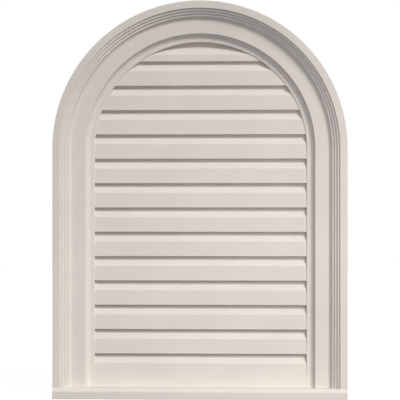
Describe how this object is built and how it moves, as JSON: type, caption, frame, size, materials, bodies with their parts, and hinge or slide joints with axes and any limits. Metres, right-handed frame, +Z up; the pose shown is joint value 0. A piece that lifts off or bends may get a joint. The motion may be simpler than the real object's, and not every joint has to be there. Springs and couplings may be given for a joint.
{
  "type": "gable vent",
  "caption": "Round-top gable vent: stepped and coved arch frame around horizontal louvre blades on a closed panel, with a plain sill, fixed flat to a gable wall.",
  "frame": {"origin": "centre of the footprint of the vent standing on its sill: mid-width, mid-depth, on the sill's underside", "axes": "+Z up the vent from the sill to the crown of the arch, -Y out of the front face, +Y into the wall, +X to the right seen from the front"},
  "size_m": [0.564, 0.054, 0.7619],
  "materials": {
    "primed_urethane": "factory-primed moulded urethane, warm off-white, matte with a very fine cast texture"
  },
  "bodies": {
    "root": {"gable_vent": "primed_urethane"}
  },
  "joints": []
}
